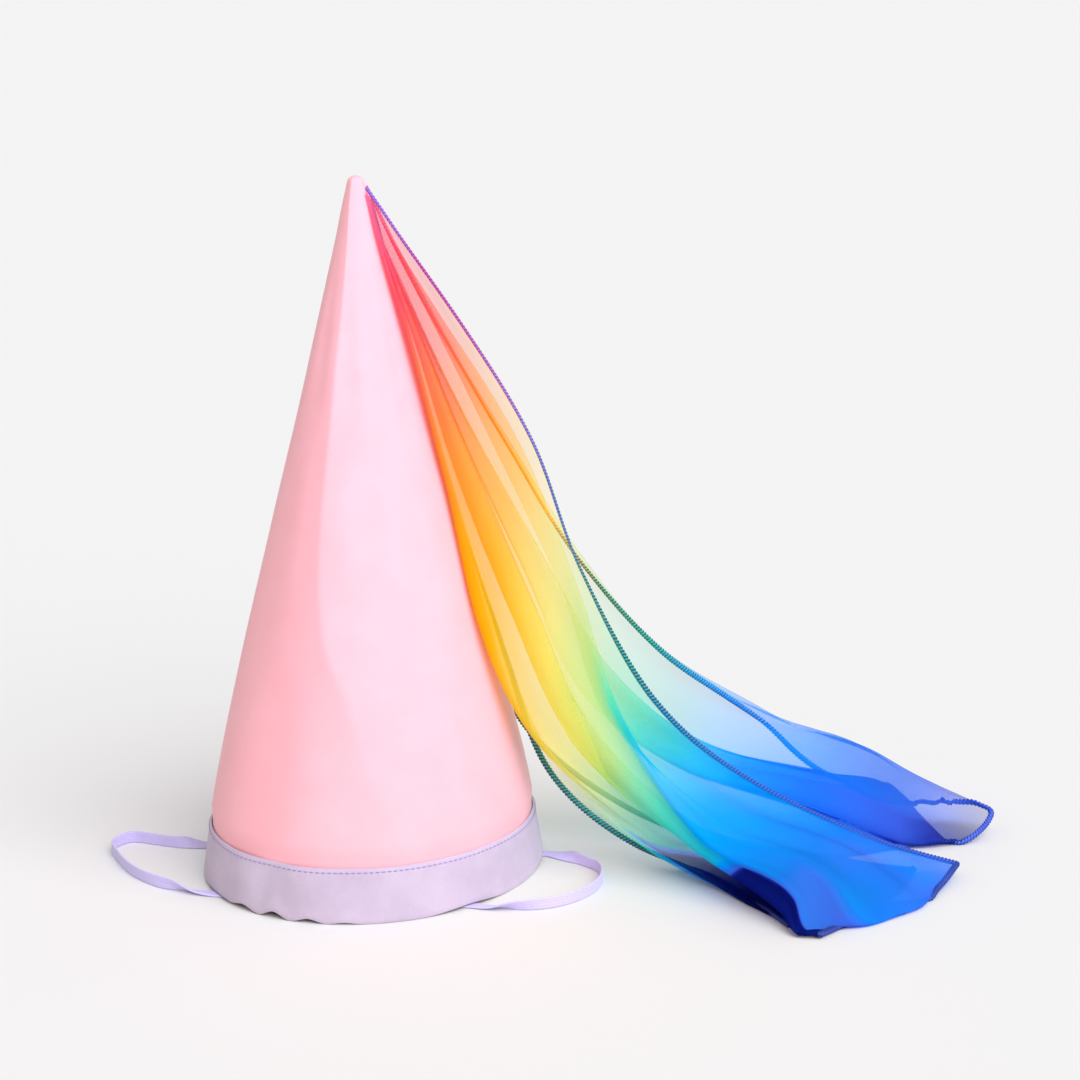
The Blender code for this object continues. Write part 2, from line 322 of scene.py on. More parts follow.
# %% Elastic
CHEVRON_MM = 0.7

elastic, tree, output = new_material("braided_elastic")
cloth = add(tree, "UVMap", uv_map="cloth").outputs["UV"]
apart = add(tree, "SeparateXYZ", links={"Vector": cloth})
ripple = wave(tree, apart.outputs["Y"], CHEVRON_MM)
fuzz = add(tree, "TexNoise", {"Scale": 1500.0, "Detail": 3.0}, {"Vector": cloth})
colour = ramp(tree, ((0.25, "#c3b3e2"), (0.75, "#d9cdf2")), fuzz.outputs["Fac"])
bump = add(tree, "Bump", {"Strength": 0.35, "Distance": 0.0001}, {"Height": ripple})
principled(
    tree,
    output,
    {"Roughness": 0.62, "Sheen Weight": 0.3, "Sheen Roughness": 0.4},
    {"Base Color": colour, "Normal": bump.outputs["Normal"]},
)

# %% Strap piece
strap_mesh = grid_mesh("chin_strap_elastic", strap_points, strap_flat, closed=True)
strap = place("chin_strap_elastic", strap_mesh, elastic)
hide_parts("chin_strap")
print("strap mesh:", len(strap_mesh.polygons), "faces")

# %% [markdown]
# ## The cone
#
# The cone is cotton over a thin stiffener, one panel joined in a seam at the back. It was stored
# flat, so a soft ridge still runs down its front, a little left of the middle, and turns to the
# right as it fades near the hem. The outline comes from a table of rings, and the ridge and the
# softer dents are added to the radius.

# %% Sizes of the cone
HAT_HEIGHT = 0.339
OPENING_HALF_LENGTH = 0.087
OPENING_HALF_WIDTH = 0.0777
OPENING_TURN = 42.0             # degrees from +X to the long half axis
TIP_RADIUS = 0.0034
TIP_OFFSET = -0.0040            # along X, from the opening's middle to the tip
CLOTH_WALL = 0.0015
BAND_WALL = 0.0012
BAND_HEIGHT = 0.0265
GAP = 0.0003                    # between the cone's tucked edge and the band
ROUND_BELOW = 0.25              # of the opening's radius, where the oval starts to turn round

# Shares of the hat's height, and of the opening's radius
Ring = namedtuple("Ring", "height radius")
CONE_RINGS = (
    Ring(0.00, 1.000),
    Ring(0.06, 0.963),
    Ring(0.12, 0.922),
    Ring(0.20, 0.854),
    Ring(0.30, 0.758),
    Ring(0.42, 0.634),
    Ring(0.54, 0.505),
    Ring(0.66, 0.376),
    Ring(0.77, 0.266),
    Ring(0.86, 0.175),
    Ring(0.92, 0.116),
    Ring(0.96, 0.080),
    Ring(0.99, 0.050),
)

# Soft ridges and dents in the cloth. heading is in degrees from +X at each height in
# UP_THE_CONE; rise is in millimetres, and spread is its half width in degrees. A crisp fold has
# an edge along its middle, and the others are round.
FOLD_EDGE = 0.06                # how rounded that edge is, as a share of the spread
UP_THE_CONE = (0.00, 0.12, 0.20, 0.30, 0.38, 0.50, 0.70, 0.90, 1.00)
Fold = namedtuple("Fold", "name heading rise spread crisp")
CONE_FOLDS = (
    Fold(
        "front ridge",
        heading=(-76, -79, -88, -96, -106, -112, -112, -110, -113),
        rise=(0.0, 0.9, 2.0, 3.3, 4.0, 4.2, 3.2, 2.0, 0.8),
        spread=19.0,
        crisp=True,
    ),
    Fold(
        "back ridge",
        heading=(64, 64, 63, 62, 62, 62, 62, 62, 62),
        rise=(0.0, 0.8, 1.3, 1.8, 2.0, 2.0, 1.4, 0.8, 0.3),
        spread=16.0,
        crisp=True,
    ),
    Fold(
        "low left swell",
        heading=(-112, -111, -114, -120, -126, -130, -130, -130, -130),
        rise=(0.0, 0.5, 0.5, 0.3, 0.1, 0.0, 0.0, 0.0, 0.0),
        spread=12.0,
        crisp=False,
    ),
    Fold(
        "hollow beside the ridge",
        heading=(-130, -130, -130, -132, -136, -140, -142, -142, -142),
        rise=(0.0, -1.2, -1.9, -2.0, -1.7, -1.2, -0.7, -0.3, 0.0),
        spread=20.0,
        crisp=False,
    ),
    Fold(
        "right swell",
        heading=(-40, -42, -46, -50, -52, -52, -50, -50, -50),
        rise=(0.0, 0.3, 0.5, 0.4, 0.1, 0.0, 0.0, 0.0, 0.0),
        spread=16.0,
        crisp=True,
    ),
)

# %% The hat's surface
def away(turn, middle):
    """Degrees from the middle angle, from -180 to 180."""
    return (turn - middle + 180.0) % 360.0 - 180.0


def opening_radius(turn):
    """The oval opening's outer radius, for an angle in degrees from +X."""
    angle = np.radians(turn - OPENING_TURN)
    return OPENING_HALF_LENGTH * OPENING_HALF_WIDTH / np.hypot(
        OPENING_HALF_WIDTH * np.cos(angle), OPENING_HALF_LENGTH * np.sin(angle)
    )


def plain_radius(turn, z):
    """The hat's outer radius at an angle and a height, without its folds."""
    heights = [ring.height for ring in CONE_RINGS]
    share = np.clip(z / HAT_HEIGHT, 0.0, heights[-1])
    radius = smooth(heights, [ring.radius for ring in CONE_RINGS], share)
    even = 0.5 * (OPENING_HALF_LENGTH + OPENING_HALF_WIDTH)
    oval = even + (opening_radius(turn) - even) * ease(radius / ROUND_BELOW)
    return np.maximum(oval * radius, TIP_RADIUS)


def hat_radius(turn, z):
    """The hat's outer radius with its ridges and dents."""
    share = np.clip(z / HAT_HEIGHT, 0.0, 1.0)
    extra = 0.0
    for fold in CONE_FOLDS:
        heading = smooth(UP_THE_CONE, fold.heading, share)
        rise = smooth(UP_THE_CONE, fold.rise, share) / 1000
        off = away(turn, heading) / fold.spread
        profile = np.exp(FOLD_EDGE - np.hypot(off, FOLD_EDGE)) if fold.crisp else np.exp(-off**2)
        extra = extra + rise * profile
    return plain_radius(turn, z) + extra


def round_axis(turn, radius, z):
    """A point at an angle and a distance from the hat's leaning axis, at a height."""
    x, y = radius * np.cos(np.radians(turn)), radius * np.sin(np.radians(turn))
    return np.stack([TIP_OFFSET * z / HAT_HEIGHT + x, y, z + 0 * radius], axis=-1)


def on_hat(turn, z, out):
    """A point at an angle and a height, this far out from the hat's surface."""
    return round_axis(turn, hat_radius(turn, z) + out, z)


# %% The cone's grid
SEAM_TURN = 95.0                # where the panel's two edges meet, at the back
CROWN_FOOT = 0.16               # of the band's height, where the cone's own edge ends
CROWN_TUCK = 0.30               # of the band's height above it, over which the cone draws in
CONE_TURNS, TUCK_LEVELS, CONE_LEVELS, DOME_RINGS = 288, 8, 131, 5
RIPPLE = 0.00010                # the height of one ripple in the cloth; nine of them cross
RIPPLES_START, RIPPLES_END = 0.08, 0.12   # metres above the hem and below the tip
SEAM_DEPTH = 0.0006
SEAM_REACH = 0.06               # its half width in degrees, times the height in metres

turns = SEAM_TURN + np.linspace(0.0, 360.0, CONE_TURNS + 1)
full = BAND_HEIGHT * (1 + CROWN_TUCK)
levels = np.concatenate(
    [
        np.linspace(CROWN_FOOT * BAND_HEIGHT, full, TUCK_LEVELS + 1)[:-1],
        np.linspace(full, HAT_HEIGHT - TIP_RADIUS, CONE_LEVELS + 1),
    ]
)
heights, headings = np.meshgrid(levels, turns, indexing="ij")
tucked = (BAND_WALL + GAP) * ease((full - heights) / (full - BAND_HEIGHT))
rng = np.random.default_rng(7)
ripples = sum(
    RIPPLE * np.sin(np.radians(headings) * lobes + heights * reach + phase)
    for lobes, reach, phase in zip(rng.integers(2, 14, 9), rng.uniform(-60, 60, 9), rng.uniform(0, 6, 9))
)
ripples = ripples * ease(heights / RIPPLES_START) * ease((HAT_HEIGHT - heights) / RIPPLES_END)
seam_off = away(headings, SEAM_TURN) * heights.clip(0.02) / SEAM_REACH
seam_groove = -SEAM_DEPTH * np.exp(-(seam_off**2))
cone_points = on_hat(headings, heights, ripples + seam_groove - tucked)

# %% The cone laid flat
# A cone unrolls to a slice of a circle, so its threads turn slowly round it, as cut cloth does.
slant = np.hypot(HAT_HEIGHT - heights, plain_radius(headings, heights))
slice_angle = np.radians(headings - SEAM_TURN - 180.0) * OPENING_HALF_WIDTH / HAT_HEIGHT
cone_flat = np.stack([slant * np.sin(slice_angle), slant * np.cos(slice_angle)], axis=-1)

# The tip is closed by a small dome, in rings that shrink as they rise
over = np.radians(90.0 * np.arange(1, DOME_RINGS + 1) / DOME_RINGS)[:, None, None]
dome_middle = np.array([TIP_OFFSET, 0.0, HAT_HEIGHT - TIP_RADIUS])
dome = dome_middle + (cone_points[-1:] - dome_middle) * np.cos(over)
dome = dome + TIP_RADIUS * np.sin(over) * (0.0, 0.0, 1.0)
cone_points = np.concatenate([cone_points, dome])[:, :-1]
cone_flat = np.concatenate([cone_flat, cone_flat[-1:] * np.cos(over)])
print("cone grid:", cone_points.shape)

# %% [markdown]
# The cone's cotton is a plain weave with a soft, brushed face. Its threads are about 0.3 mm
# apart, too fine to show at this distance, so they are drawn twice as far apart and only faintly.
# The colour drifts a little, as dyed cotton does over a padded backing.

# %% Cotton
THREAD_MM = 0.6


def cotton(name, dark, light, sheen):
    """Plain-woven cotton between two hex colours."""
    made, tree, output = new_material(name)
    cloth = add(tree, "UVMap", uv_map="cloth").outputs["UV"]
    apart = add(tree, "SeparateXYZ", links={"Vector": cloth})
    weave = maths(tree, "MULTIPLY", *(wave(tree, apart.outputs[axis], THREAD_MM) for axis in "XY"))
    drift = add(tree, "TexNoise", {"Scale": 45.0, "Detail": 4.0, "Roughness": 0.6}, {"Vector": cloth})
    slubs = add(tree, "TexNoise", {"Scale": 900.0, "Detail": 2.0}, {"Vector": cloth})
    tone = maths(tree, "MULTIPLY_ADD", slubs.outputs["Fac"], 0.25, drift.outputs["Fac"])
    colour = ramp(tree, ((0.40, dark), (0.85, light)), tone)
    crimp = add(tree, "Bump", {"Strength": 0.30, "Distance": 0.00006}, {"Height": weave})
    crease = add(
        tree,
        "Bump",
        {"Strength": 0.15, "Distance": 0.0005},
        {"Height": drift.outputs["Fac"], "Normal": crimp.outputs["Normal"]},
    )
    principled(
        tree,
        output,
        {"Roughness": 0.80, "Sheen Weight": sheen, "Sheen Roughness": 0.5, "Specular IOR Level": 0.25},
        {"Base Color": colour, "Normal": crease.outputs["Normal"]},
    )
    return made


pink_cotton = cotton("pink_brushed_cotton", "#feb0b4", "#ffb6bb", 0.25)

# %% Cone piece
def shell(made, wall):
    """Grows a sheet inward to a closed wall, as cloth with its backing."""
    thick = made.modifiers.new("wall", "SOLIDIFY")
    thick.thickness = wall
    thick.offset = -1


cone_mesh = grid_mesh("cone_cloth", cone_points, cone_flat, closed=True)
cone = place("cone_cloth", cone_mesh, pink_cotton)
shell(cone, CLOTH_WALL)
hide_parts("cone_crown")
print("cone mesh:", len(cone_mesh.polygons), "faces")

# %% [markdown]
# ## The hem band
#
# The band is a lavender strip folded over the cone's raw edge. Its lower edge is a soft round
# fold that lifts where the elastic passes and waves a little at the front left. Its section is
# drawn as one closed loop with round edges, and carried round the opening.

# %% Lifts and bulges
# turn and spread are in degrees. A hem lift's rise is a share of the band's height, and that of a
# bulge is in millimetres, outward.
Lift = namedtuple("Lift", "name turn rise spread")
HEM_LIFTS = (
    Lift("elastic, back left", 168.0, 0.066, 18.0),
    Lift("elastic, front left", 211.0, 0.066, 20.0),
    Lift("elastic, front right", 309.0, 0.066, 20.0),
    Lift("elastic, back right", 5.0, 0.066, 18.0),
    Lift("first wave, front left", 227.0, 0.090, 7.0),
    Lift("second wave, front left", 239.0, 0.120, 6.0),
    Lift("small wave", 251.0, 0.075, 6.0),
    Lift("small wave, front", 263.0, 0.030, 6.0),
)
BAND_BULGES = (
    Lift("bulge, front left", 224.0, 1.0, 12.0),
    Lift("hollow, front left", 237.0, -0.8, 9.0),
    Lift("bulge, front", 250.0, 0.7, 12.0),
    Lift("hollow, right", 322.0, -0.6, 14.0),
)

# %% Band grid
BAND_TURNS = 384
EDGE_ROUND = 0.0007             # how far from the band's edges its section starts to turn
TAPER_FROM = 0.93               # of the band's height, where it starts to thin toward its top
STRAIGHT_BELOW = 0.06           # of the band's height, where it stops following the cone's slope
BULGE_TOP = 1.15                # of the band's height, where a bulge would have faded out


def lift_at(turn, lifts):
    """The sum of these lifts at an angle, each falling softly to 0 at its spread."""
    return sum(lift.rise * ease(1.0 - np.abs(away(turn, lift.turn)) / lift.spread) for lift in lifts)


def band_swell(turn, up):
    """How far the band bulges out at an angle and a share of its height, in metres."""
    return lift_at(turn, BAND_BULGES) / 1000 * np.sin(np.pi * np.clip(BULGE_TOP - up, 0.0, 1.0))


# Points of the section: a share of the wall outward, and a share of the band's height
edge = EDGE_ROUND / BAND_HEIGHT
outside = [(-0.3, 1 - edge)] + [(0.0, up) for up in np.linspace(TAPER_FROM, edge, 14)]
inside = [(-1.0, up) for up in np.linspace(edge, 1 - edge, 7)]
turn_under = [(-0.15, edge * 0.3), (-0.5, 0.0), (-0.85, edge * 0.3)]
turn_over = [(-0.85, 1 - edge * 0.3), (-0.65, 1.0), (-0.45, 1 - edge * 0.3)]
band_section = np.array(outside + turn_under + inside + turn_over)

band_turns = SEAM_TURN + np.linspace(0.0, 360.0, BAND_TURNS + 1)
outward, up = (band_section[:, i][:, None] for i in (0, 1))
base = np.maximum(up, STRAIGHT_BELOW) * BAND_HEIGHT
band_points = on_hat(band_turns[None, :], base, outward * BAND_WALL + band_swell(band_turns[None, :], up))
band_points[..., 2] = (up + lift_at(band_turns, HEM_LIFTS)[None, :] * (1.0 - up)) * BAND_HEIGHT
band_points = np.concatenate([band_points, band_points[:1]])
run = distances(band_points[0])
down = distances(band_points[:, 0])
band_flat = np.stack(np.broadcast_arrays(run[None, :], down[:, None]), axis=-1)
print("band grid:", band_points.shape, "length round:", round(float(run[-1]), 3), "m")

# %% Band piece
lavender_cotton = cotton("lavender_cotton", "#bca8b8", "#cbb8c6", 0.30)
band_mesh = grid_mesh("band_cloth", band_points[:, :-1], band_flat, closed=True)
band = place("band_cloth", band_mesh, lavender_cotton)
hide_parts("hem_band")

# %% [markdown]
# ## The topstitch
#
# One row of lavender thread holds the band's upper edge, about 2 mm below it, in stitches
# 2 mm long. Each stitch is a short arc that dips into the cloth at both ends, so that it reads
# as thread and not as a painted dash.

# %% Topstitch
STITCH_LENGTH = 0.0020
STITCH_GAP = 0.0008
STITCH_BELOW_EDGE = 0.0019
THREAD_RADIUS = 0.00026
STITCH_AT = np.array([0.0, 0.15, 0.5, 0.85, 1.0])       # shares of a stitch's length
STITCH_RISE = np.array([-1.2, 0.2, 0.55, 0.2, -1.2])    # out of the cloth there, in thread radii
TOPSTITCH_TILT = 0.2            # how much the stitches face upward


def stitches(name, centre_of, length, material):
    """A row of stitches along centre_of(distances), which gives points on the cloth and its outward
    directions."""
    threads = bpy.data.curves.new(name, "CURVE")
    threads.dimensions = "3D"
    threads.bevel_depth = THREAD_RADIUS
    threads.bevel_resolution = 1
    starts = np.arange(0.0, length - STITCH_LENGTH, STITCH_LENGTH + STITCH_GAP)
    for start in starts:
        points, outward = centre_of(start + STITCH_LENGTH * STITCH_AT)
        points = points + outward * THREAD_RADIUS * STITCH_RISE[:, None] + MIDDLE
        spline = threads.splines.new("POLY")
        spline.points.add(len(points) - 1)
        for point, where in zip(spline.points, points):
            point.co = (*where, 1.0)
    made = place(name, threads, material)
    print(name, len(starts), "stitches")
    return made


def topstitch_line(at):
    """Points and outward directions at distances round the band."""
    turn = np.interp(at, run, band_turns)
    z = np.full_like(turn, BAND_HEIGHT - STITCH_BELOW_EDGE)
    angle = np.radians(turn)
    outward = np.stack([np.cos(angle), np.sin(angle), np.full_like(angle, TOPSTITCH_TILT)], axis=-1)
    return on_hat(turn, z, band_swell(turn, z / BAND_HEIGHT)), unit(outward)


thread, tree, output = new_material("polyester_topstitch_thread")
principled(tree, output, {"Base Color": linear("#9a80bc"), "Roughness": 0.45, "Sheen Weight": 0.2})
topstitch = stitches("band_topstitch", topstitch_line, float(run[-1]), thread)

# %% [markdown]
# ## The veil
#
# Each tail of the veil is a tapered panel, gathered where it is sewn in at the tip and widening
# to its free end. It falls in long folds and then lies on the table in a few soft layers. A
# cloth simulation would find some folds, but not these, so the panel is drawn as the real one
# lies: each row below is one line of the cloth, a hem or a fold, followed from the tip to the
# free end, and the cloth is a smooth surface through those lines.
#
# heading is in degrees round the cone, reach is the way out from it as a share of VEIL_REACH,
# and height is a share of the sewing point's height. layers says how tightly the cloth is
# gathered there, as the share of light one surface stops. drift moves the rainbow along from
# half way down, and late moves it again from late_from on, where a folded layer brings a later
# band; on the near tail's folded under-layers late is also painted shade, which sends them to
# the rainbow's dark navy end. edge is the share of the way across to the next line where the
# dye changes over.

# %% Fold lines
SEWN_SHARE = 0.987              # of the hat's height, where the veil is sewn in
VEIL_REACH = 0.210
SHEET_REST = 0.0006             # how high the lowest cloth lies

DOWN_THE_CLOTH = (0.0, 0.15, 0.30, 0.45, 0.60, 0.75, 0.90, 0.95, 1.0)   # shares of its length
FoldLine = namedtuple(
    "FoldLine", "name heading reach height layers drift late late_from edge", defaults=(0.5,)
)
NEAR_PANEL = (
    FoldLine(
        "inner hem",
        heading=(20, 20, 26, 22, 1, -9, -7, -5, -5),
        reach=(0.0, 0.00, 0.00, 0.00, 0.012, 0.06, 0.225, 0.29, 0.35),
        height=(0.980, 0.80, 0.65, 0.48, 0.315, 0.155, 0.040, 0.015, 0.0),
        layers=(0.60, 0.50, 0.40, 0.35, 0.20, 0.18, 0.30, 0.45, 0.90),
        drift=0.0,
        # late here darkens the tucked-under end toward navy: partly a later band of the dye, partly
        # painted shade
        late=0.50,
        late_from=0.96,
    ),
    FoldLine(
        "left fold",
        heading=(-38, -18, -15, -20, -17, -8, -14, -21, -24),
        reach=(0.0, 0.012, 0.012, 0.012, 0.070, 0.25, 0.50, 0.62, 0.70),
        height=(0.988, 0.795, 0.60, 0.385, 0.215, 0.070, 0.003, 0.0, 0.0),
        layers=(0.70, 0.72, 0.80, 0.84, 0.66, 0.55, 0.92, 0.92, 0.92),
        drift=-0.02,
        # late sends this folded under-layer to the dark navy end: partly a later band of the dye, mostly
        # painted shade
        late=0.80,
        late_from=0.79,
    ),
    FoldLine(
        "first right fold",
        heading=(-34, -14, -14, -16, -12, -5, -3, -3, -3),
        reach=(0.0, 0.040, 0.09, 0.15, 0.20, 0.39, 0.70, 0.80, 0.87),
        height=(0.990, 0.80, 0.605, 0.405, 0.228, 0.065, 0.015, 0.006, 0.003),
        layers=(0.50, 0.36, 0.32, 0.30, 0.30, 0.45, 0.70, 0.75, 0.75),
        drift=-0.04,
        late=0.10,
        late_from=0.80,
    ),
    FoldLine(
        "second left fold",
        heading=(-30, -13, -14, -14, -12, -13, -21, -24, -25),
        reach=(0.0, 0.019, 0.040, 0.08, 0.145, 0.35, 0.63, 0.70, 0.73),
        height=(0.992, 0.80, 0.595, 0.395, 0.205, 0.074, 0.010, 0.006, 0.003),
        layers=(0.50, 0.46, 0.56, 0.70, 0.70, 0.74, 0.92, 0.92, 0.92),
        drift=-0.03,
        # late sends this folded under-layer to the dark navy end: partly a later band of the dye, mostly
        # painted shade
        late=0.70,
        late_from=0.79,
        edge=0.85,
    ),
    FoldLine(
        "front fold",
        heading=(-24, -8, -8, -9, -12, -17, -23, -24, -14),
        reach=(0.0, 0.090, 0.192, 0.235, 0.275, 0.43, 0.67, 0.71, 0.80),
        height=(0.988, 0.815, 0.635, 0.43, 0.24, 0.090, 0.046, 0.004, 0.0),
        layers=(0.45, 0.28, 0.20, 0.21, 0.64, 0.88, 0.92, 0.92, 0.92),
        drift=0.10,
        late=0.07,
        late_from=0.84,
    ),
    FoldLine(
        "third left fold",
        heading=(-21, -5, -5, -6, -7, -11, -13, -15, -11),
        reach=(0.0, 0.070, 0.138, 0.20, 0.235, 0.47, 0.76, 0.87, 0.90),
        height=(0.994, 0.81, 0.62, 0.42, 0.235, 0.112, 0.052, 0.006, 0.0),
        layers=(0.40, 0.32, 0.20, 0.14, 0.30, 0.88, 0.90, 0.88, 0.86),
        drift=0.07,
        late=-0.09,
        late_from=0.88,
    ),
    FoldLine(
        "outer hem",
        heading=(-10, -2, -2, -2, -2, 1, -3, -4, -4),
        reach=(0.0, 0.130, 0.222, 0.25, 0.340, 0.52, 0.81, 0.89, 0.975),
        height=(1.000, 0.81, 0.64, 0.45, 0.255, 0.122, 0.045, 0.034, 0.018),
        layers=(0.40, 0.36, 0.25, 0.15, 0.16, 0.36, 0.84, 0.90, 0.85),
        drift=0.02,
        late=-0.09,
        late_from=0.88,
    ),
)
FAR_PANEL = (
    FoldLine(
        "inner hem",
        heading=(74, 34, 34, 34, 26, 12, 4, 2, 0),
        reach=(0.0, 0.004, 0.004, 0.004, 0.010, 0.17, 0.45, 0.56, 0.66),
        height=(0.966, 0.80, 0.61, 0.41, 0.19, 0.07, 0.003, 0.0, 0.0),
        layers=(0.60, 0.45, 0.40, 0.35, 0.22, 0.22, 0.45, 0.60, 0.60),
        drift=0.0,
        late=0.0,
        late_from=0.80,
    ),
    FoldLine(
        "right fold",
        heading=(58, 21, 17, 17, 16, 16, 13, 11, 4),
        reach=(0.0, 0.035, 0.10, 0.17, 0.25, 0.43, 0.73, 0.86, 0.91),
        height=(0.974, 0.80, 0.61, 0.43, 0.26, 0.135, 0.074, 0.058, 0.002),
        layers=(0.50, 0.34, 0.28, 0.20, 0.20, 0.55, 0.74, 0.74, 0.60),
        drift=0.0,
        late=0.05,
        late_from=0.80,
    ),
    FoldLine(
        "left fold",
        heading=(42, 16, 14, 15, 15, 12, 8, 3, 4),
        reach=(0.0, 0.020, 0.060, 0.11, 0.17, 0.35, 0.63, 0.84, 1.01),
        height=(0.982, 0.80, 0.605, 0.425, 0.235, 0.115, 0.046, 0.006, 0.003),
        layers=(0.45, 0.28, 0.22, 0.18, 0.18, 0.50, 0.76, 0.76, 0.45),
        drift=0.0,
        late=0.06,
        late_from=0.80,
    ),
    FoldLine(
        "back fold",
        heading=(26, 12, 12, 14, 18, 21, 14, 9, 7),
        reach=(0.0, 0.060, 0.145, 0.235, 0.365, 0.62, 0.85, 0.93, 1.09),
        height=(0.990, 0.80, 0.615, 0.435, 0.27, 0.148, 0.104, 0.082, 0.034),
        layers=(0.40, 0.26, 0.18, 0.14, 0.14, 0.32, 0.50, 0.52, 0.24),
        drift=0.0,
        late=-0.02,
        late_from=0.80,
    ),
    FoldLine(
        "outer hem",
        heading=(10, 9, 10, 12, 16, 20, 14, 11, 9),
        reach=(0.0, 0.072, 0.165, 0.255, 0.395, 0.60, 0.74, 0.84, 0.96),
        height=(1.000, 0.81, 0.615, 0.44, 0.285, 0.160, 0.062, 0.032, 0.040),
        layers=(0.40, 0.26, 0.22, 0.14, 0.12, 0.16, 0.32, 0.34, 0.20),
        drift=0.0,
        late=-0.04,
        late_from=0.80,
    ),
)

# %% [markdown]
# Fine pleats start at the gathers, deepen where the cloth comes to lie and fade out at its free
# end. They are a ripple along the surface's own direction outward, so they follow the big folds.

# %% From fold lines to cloth
PLEATS_PER_LINE = 1.7
RAINBOW_LENGTH = 0.31           # from the cone's axis out to the end of the dye's bands
DRIFT_DOWN = (0.50, 0.65)       # shares of the way down where the drift starts and is whole
LATE_OVER = 0.05                # of the way down, for each late change
TIP_LAG = 0.07                  # how far the outer cloth's dye lags behind, high up
LAG_AT, LAG_SPREAD = 0.22, 0.14   # where down the cloth it lags most, and how far that spreads
SHARPER = 7.0                   # the dye changes over in a seventh of the way between two lines
LEAST_STOPPED, MOST_STOPPED = 0.05, 0.92   # shares of the light
OFF_THE_HAT = 0.0008            # how far out the veil is drawn, where its reach is 0
LEAST_OFF_THE_HAT = 0.0007      # the nearest that a pleat may come
PLEAT_DEPTH = (0.0, 0.8, 0.8, 0.8, 0.8, 1.0, 1.6, 1.2, 0.3)   # millimetres, down the cloth


def surface_normals(points):
    """Outward directions of a grid of points."""
    return unit(np.cross(np.gradient(points, axis=1), np.gradient(points, axis=0)))


def keep_clear(points):
    """Keeps the cloth off the cone and off the table."""
    z = np.maximum(points[..., 2], SHEET_REST)
    x, y = points[..., 0] - TIP_OFFSET * z / HAT_HEIGHT, points[..., 1]
    turn = np.degrees(np.arctan2(y, x))
    radius = np.hypot(x, y)
    needed = np.where(z < HAT_HEIGHT * SEWN_SHARE, hat_radius(turn, z) + LEAST_OFF_THE_HAT, 0.0)
    return round_axis(turn, np.maximum(radius, needed), z)


def veil_grid(lines, across_steps, down_steps, seed, pleats_deeper=1.0):
    """The panel's points, how much light each stops, and its place along the rainbow."""
    down = np.linspace(0.0, 1.0, down_steps + 1)
    across = np.linspace(0.0, len(lines) - 1, across_steps * (len(lines) - 1) + 1)
    numbers = np.arange(len(lines))
    columns = []
    for column in ("heading", "reach", "height", "layers"):
        along = [smooth(DOWN_THE_CLOTH, getattr(line, column), down) for line in lines]
        columns.append(np.array([smooth(numbers, row, across) for row in zip(*along)]))
    heading, reach, height, layers = columns
    z = SHEET_REST + np.maximum(height, 0.0) * (SEWN_SHARE * HAT_HEIGHT - SHEET_REST)
    points = on_hat(heading, z, OFF_THE_HAT + np.maximum(reach, 0.0) * VEIL_REACH)
    noise = np.random.default_rng(seed)
    wander = sum(
        noise.uniform(0.3, 0.8) * np.sin(down[:, None] * noise.uniform(2, 9) + noise.uniform(0, 6))
        for _ in range(3)
    )
    pleat = np.sin(2 * np.pi * PLEATS_PER_LINE * across[None, :] + wander)
    depth = pleats_deeper * smooth(DOWN_THE_CLOTH, PLEAT_DEPTH, down)[:, None] / 1000
    points = keep_clear(points + surface_normals(points) * (pleat * depth)[..., None])
    drifted = ease((down - DRIFT_DOWN[0]) / (DRIFT_DOWN[1] - DRIFT_DOWN[0]))
    shift = np.array(
        [line.drift * drifted + line.late * ease((down - line.late_from) / LATE_OVER) for line in lines]
    )
    before = np.minimum(np.floor(across).astype(int), len(lines) - 2)
    edge_at = np.array([line.edge for line in lines])[before]
    changed = before + ease((across - before - edge_at) * SHARPER + 0.5)
    shifts = np.array([np.interp(changed, numbers, row) for row in shift.T])
    high_up = np.exp(-(((down - LAG_AT) / LAG_SPREAD) ** 2))
    lag = TIP_LAG * high_up[:, None] * ease(across / numbers[-1])[None, :]
    # the place along the rainbow; the late shifts add painted shade on the near tail's under-layers
    dye_and_shade = points[..., 0] / RAINBOW_LENGTH + shifts - lag
    return points, np.clip(layers, LEAST_STOPPED, MOST_STOPPED), np.clip(dye_and_shade, 0.0, 1.0)


def flat_places(points):
    """Distances across and down the cloth, in metres."""
    across = np.cumsum(np.linalg.norm(np.diff(points, axis=1, prepend=points[:, :1]), axis=2), axis=1)
    down = np.cumsum(np.linalg.norm(np.diff(points, axis=0, prepend=points[:1]), axis=2), axis=0)
    return np.stack([across - across[:, -1:] / 2, down], axis=-1)


# %% [markdown]
# Chiffon is a plain weave of very fine, hard-twisted yarn with open gaps. One layer barely
# tints what is behind it, and a few layers look like solid colour. So its shader is a mix of
# clear and dyed cloth: the clear part is faintly tinted, and the dyed part scatters light both
# back and through. The dye runs in soft bands from pink at the tip to blue at the free end. Its
# deep navy end is partly the dye's own and partly painted shade on the near tail's folded
# under-layers.

# %% Chiffon
RAINBOW = (
    (0.00, "#ff84b0"),
    (0.04, "#ff6878"),
    (0.07, "#ff8460"),
    (0.10, "#ffa038"),
    (0.14, "#ffba18"),
    (0.19, "#ffcc06"),
    (0.23, "#ffdc40"),
    (0.28, "#f8ee70"),
    (0.34, "#d0f090"),
    (0.38, "#98f0b8"),
    (0.42, "#5cecc4"),
    (0.48, "#1cd4d8"),
    (0.54, "#02c2f6"),
    (0.60, "#00b0ff"),
    (0.67, "#10a8ff"),
    (0.76, "#2490f4"),
    (0.83, "#3e86f0"),
    (0.90, "#4a72e4"),
    # The two last stops, deep navy, are partly the dye's own indigo end and partly painted shade: the
    # near tail's shaded under-layers are sent onto them.
    (0.95, "#2a40b4"),
    (1.00, "#101e78"),
)

